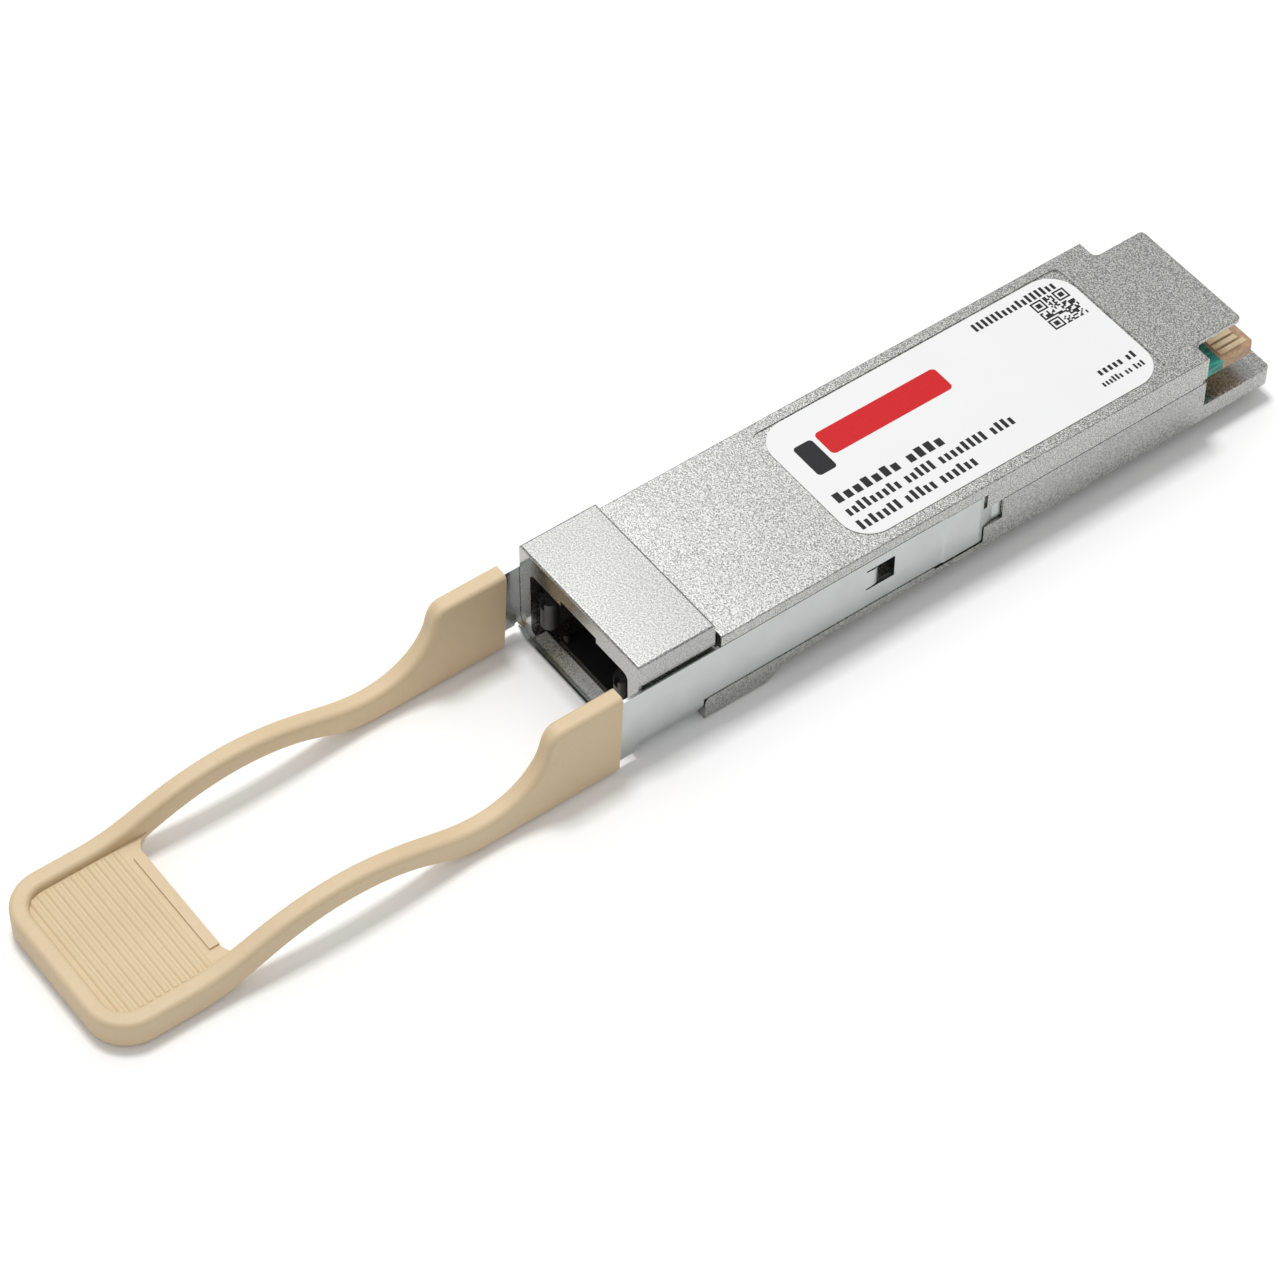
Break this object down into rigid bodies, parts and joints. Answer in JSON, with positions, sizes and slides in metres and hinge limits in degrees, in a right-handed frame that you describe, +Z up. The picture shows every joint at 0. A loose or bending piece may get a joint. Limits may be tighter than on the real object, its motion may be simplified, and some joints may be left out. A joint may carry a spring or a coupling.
{
  "type": "optical transceiver module",
  "caption": "Slim metal pluggable optical transceiver with a multi-fibre port in its nose, a card-edge connector at the back and a sprung release slide with a beige pull tab.",
  "frame": {"origin": "middle of the flat underside that rests in the host cage, 44 mm behind the nose face", "axes": "+Y into the host towards the edge connector, -Y towards the fibre port and the pull tab, +Z up through the cover with the label"},
  "size_m": [0.019, 0.1267, 0.0115],
  "materials": {
    "die_cast": "satin nickel over zinc die casting",
    "cover_plate": "bead-blasted nickel",
    "bracket_steel": "smooth stainless sheet",
    "spring_steel": "bright wire",
    "screw_steel": "plated steel",
    "pin_steel": "ground stainless",
    "tab_plastic": "moulded, beige",
    "label_film": "white film",
    "card_laminate": "solder mask over laminate",
    "contact_gold": "hard gold plating",
    "port_plastic": "black moulded",
    "hook_plastic": "dark grey moulded",
    "boot_rubber": "soft",
    "ribbon_coat": "acrylate-coated fibres",
    "lens_resin": "amber optical resin",
    "die_semiconductor": "polished die",
    "chip_epoxy": "moulded epoxy",
    "shield_tin": "tinned sheet",
    "pad_silicone": "soft gap filler",
    "gasket_elastomer": "conductive elastomer",
    "capacitor_ceramic": "ceramic",
    "inductor_ferrite": "moulded ferrite"
  },
  "bodies": {
    "module": {"base_housing": "die_cast", "top_cover": "cover_plate", "label": "label_film", "cover_screws": "screw_steel", "seam_gaskets": "gasket_elastomer", "circuit_card": "card_laminate", "edge_contacts_top": "contact_gold", "edge_contacts_bottom": "contact_gold", "port_retainer": "port_plastic", "fibre_ferrule": "port_plastic", "guide_pins": "pin_steel", "pin_holder": "screw_steel", "ferrule_boot": "boot_rubber", "fibre_ribbon": "ribbon_coat", "ribbon_holder": "port_plastic", "lens_block": "lens_resin", "laser_array": "die_semiconductor", "photodiode_array": "die_semiconductor", "laser_driver": "chip_epoxy", "receiver_amplifier": "chip_epoxy", "optics_shield": "shield_tin", "optics_thermal_pad": "pad_silicone", "retimer_transmit": "chip_epoxy", "retimer_receive": "chip_epoxy", "retimer_thermal_pad": "pad_silicone", "microcontroller": "chip_epoxy", "power_switch": "chip_epoxy", "power_inductors": "inductor_ferrite", "capacitors": "capacitor_ceramic", "resistors": "chip_epoxy", "upper_card_gasket": "gasket_elastomer", "lower_card_gasket": "gasket_elastomer", "return_spring_left": "spring_steel", "return_spring_right": "spring_steel"},
    "release_slider": {"release_bracket": "bracket_steel", "pull_tab": "tab_plastic"},
    "hook_left": {"hook_left": "hook_plastic"},
    "hook_right": {"hook_right": "hook_plastic"}
  },
  "joints": [
    {"name": "release_slide", "type": "slide", "parent": "module", "child": "release_slider", "axis": [0, -1, 0], "range_m": [0, 0.003], "stiffness_N_per_m": 1300, "deforming": ["return_spring_left", "return_spring_right"]},
    {"name": "hook_left_flex", "type": "hinge", "parent": "module", "child": "hook_left", "pos_m": [-0.00545, -0.03405, 0.00365], "axis": [0, 0, -1], "range_deg": [0, 5], "stiffness_Nm_per_rad": 0.4},
    {"name": "hook_right_flex", "type": "hinge", "parent": "module", "child": "hook_right", "pos_m": [0.00545, -0.03405, 0.00365], "axis": [0, 0, 1], "range_deg": [0, 5], "stiffness_Nm_per_rad": 0.4}
  ]
}
